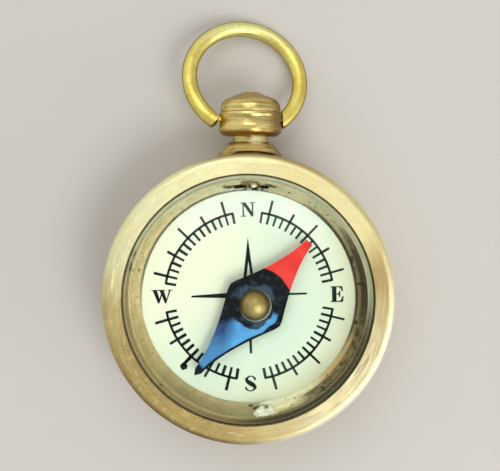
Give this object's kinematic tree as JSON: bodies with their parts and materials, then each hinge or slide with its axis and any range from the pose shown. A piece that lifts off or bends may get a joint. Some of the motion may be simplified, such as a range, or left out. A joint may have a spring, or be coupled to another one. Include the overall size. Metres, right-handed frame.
{
  "type": "pendant compass",
  "caption": "Open-face brass pocket compass with a printed dial under flat glass, a lozenge needle on a pivot, and a knobbed pendant with a swinging bow.",
  "frame": {"origin": "middle of the flat back of the case", "axes": "+Z out of the glass, +Y from the case's middle to the pendant and bow, +X to the east side of the dial"},
  "size_m": [0.04, 0.0591, 0.0126],
  "materials": {
    "case_brass": "turned and hand-brushed, lightly scratched",
    "bow_brass": "polished, slightly greenish",
    "inner_brass": "turned, dull and stained",
    "cap_brass": "polished and darkened",
    "clear_glass": "clear and polished",
    "seal_compound": "matt, dark olive",
    "solder": "dull, blobby",
    "dial_print": "satin, pale green-cream with near-black print",
    "painted_needle": "blued and painted, red north end",
    "bright_steel": "bright",
    "jewel_stone": "polished"
  },
  "bodies": {
    "case": {"case_body": "case_brass", "bezel": "case_brass", "glass": "clear_glass", "glass_seal": "seal_compound", "wall_ring": "inner_brass", "solder_joint": "solder", "support_ring": "inner_brass", "dial_plate": "inner_brass", "dial_card": "dial_print", "pivot_foot": "inner_brass", "pivot_pin": "bright_steel", "pendant_foot": "case_brass", "pendant_knob": "case_brass", "pendant_stud": "bright_steel", "stud_nut": "bright_steel"},
    "needle": {"needle_blade": "painted_needle", "needle_hub": "inner_brass", "jewel_cup": "jewel_stone", "cap_washer": "bright_steel", "hub_cap": "cap_brass"},
    "bow": {"bow": "bow_brass"}
  },
  "joints": [
    {"name": "needle_turn", "type": "hinge", "parent": "case", "child": "needle", "pos_m": [0.00095, -0.0009, 0.009], "axis": [0, 0, 1], "continuous": true},
    {"name": "bow_swing", "type": "hinge", "parent": "case", "child": "bow", "pos_m": [0, 0.0248, 0.0063], "axis": [0.9781, 0, -0.2079], "range_deg": [-108, 144]}
  ]
}
